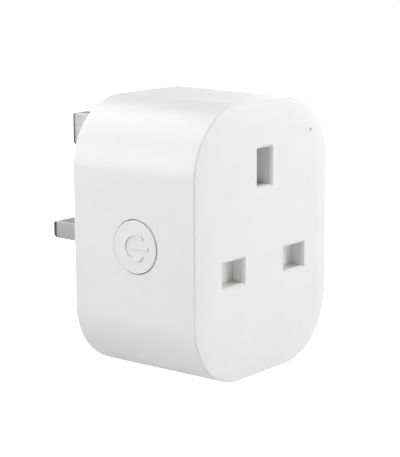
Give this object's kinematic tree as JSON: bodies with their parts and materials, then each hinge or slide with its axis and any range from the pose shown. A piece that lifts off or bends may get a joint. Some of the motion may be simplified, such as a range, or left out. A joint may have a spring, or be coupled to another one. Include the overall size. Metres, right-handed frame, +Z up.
{
  "type": "smart plug",
  "caption": "Compact smart plug with rectangular pins at the back, a shuttered three-hole socket in front and a round power button on its side.",
  "frame": {"origin": "centre of the flat wall face at the back of the body", "axes": "+X right as seen from the socket side, +Y into the wall along the plug pins, +Z up towards the earth pin"},
  "size_m": [0.0501, 0.0573, 0.062],
  "materials": {
    "housing_plastic": "satin white moulded plastic, fine spark texture",
    "button_plastic": "satin white moulded plastic",
    "cover_plastic": "satin white moulded plastic",
    "shutter_plastic": "natural white acetal",
    "carrier_plastic": "white polyamide",
    "pin_metal": "nickel-plated brass, satin",
    "sleeve_plastic": "black insulating sleeve",
    "screw_steel": "zinc-plated steel",
    "spring_steel": "drawn spring wire",
    "contact_copper": "stamped copper alloy strip",
    "relay_copper": "stamped copper alloy spring strip",
    "board_laminate": "solder-masked glass laminate",
    "black_plastic": "black glass-filled plastic",
    "plunger_plastic": "black acetal",
    "shield_metal": "tin-plated steel can",
    "clear_plastic": "clear acrylic",
    "led_epoxy": "phosphor-filled epoxy",
    "relay_case_plastic": "blue moulded plastic",
    "bobbin_plastic": "natural polyester",
    "winding_wire": "enamelled copper wire",
    "relay_iron": "nickel-flashed soft iron",
    "film_capacitor_case": "yellow moulded plastic",
    "capacitor_sleeve": "shrink sleeve on aluminium can",
    "varistor_coat": "dipped epoxy",
    "ferrite": "ferrite drum with sleeve",
    "resistor_coat": "flameproof coating",
    "chip_epoxy": "moulded epoxy",
    "shunt_metal": "resistance alloy strip"
  },
  "bodies": {
    "housing": {"front_housing": "housing_plastic", "rear_cover": "cover_plastic", "socket_carrier": "carrier_plastic", "earth_pin": "pin_metal", "line_pin": "pin_metal", "neutral_pin": "pin_metal", "line_pin_sleeve": "sleeve_plastic", "neutral_pin_sleeve": "sleeve_plastic", "cover_screws": "screw_steel", "carrier_screws": "screw_steel", "shutter_spring": "spring_steel", "line_contact": "contact_copper", "neutral_contact": "contact_copper", "earth_contact": "contact_copper", "line_busbar": "contact_copper", "neutral_busbar": "contact_copper", "earth_strap": "contact_copper", "relay_fixed_contact": "relay_copper", "main_board": "board_laminate", "button_board": "board_laminate", "wireless_board": "board_laminate", "pin_header": "black_plastic", "tact_switch_body": "black_plastic", "relay_base": "black_plastic", "shield_can": "shield_metal", "light_pipe": "clear_plastic", "status_led": "led_epoxy", "relay_case": "relay_case_plastic", "relay_bobbin": "bobbin_plastic", "relay_winding": "winding_wire", "relay_core": "relay_iron", "relay_yoke": "relay_iron", "filter_capacitor": "film_capacitor_case", "bulk_capacitors": "capacitor_sleeve", "varistor": "varistor_coat", "choke": "ferrite", "fuse_resistor": "resistor_coat", "bridge_rectifier": "chip_epoxy", "regulator_chip": "chip_epoxy", "shunt_resistor": "shunt_metal"},
    "button": {"power_button": "button_plastic"},
    "switch_plunger": {"tact_switch_plunger": "plunger_plastic"},
    "shutter": {"shutter": "shutter_plastic"},
    "armature": {"relay_armature": "relay_iron", "relay_contact_arm": "relay_copper"}
  },
  "joints": [
    {"name": "button_press", "type": "slide", "parent": "housing", "child": "button", "axis": [1, 0, 0], "range_m": [0, 0.0005], "stiffness_N_per_m": 600, "springref_m": -0.0005},
    {"name": "plunger_press", "type": "slide", "parent": "housing", "child": "switch_plunger", "axis": [1, 0, 0], "range_m": [0, 0.0005]},
    {"name": "shutter_drop", "type": "slide", "parent": "housing", "child": "shutter", "axis": [0, 0, -1], "range_m": [0, 0.0058], "stiffness_N_per_m": 120, "springref_m": -0.003, "deforming": ["shutter_spring"]},
    {"name": "armature_swing", "type": "hinge", "parent": "housing", "child": "armature", "pos_m": [0.0003, -0.0206, -0.02205], "axis": [0, 0, -1], "range_deg": [0, 3], "stiffness_Nm_per_rad": 0.02, "springref_deg": -2.86}
  ],
  "couplings": [
    {"joint": "plunger_press", "follows": "button_press", "ratio": 1}
  ]
}
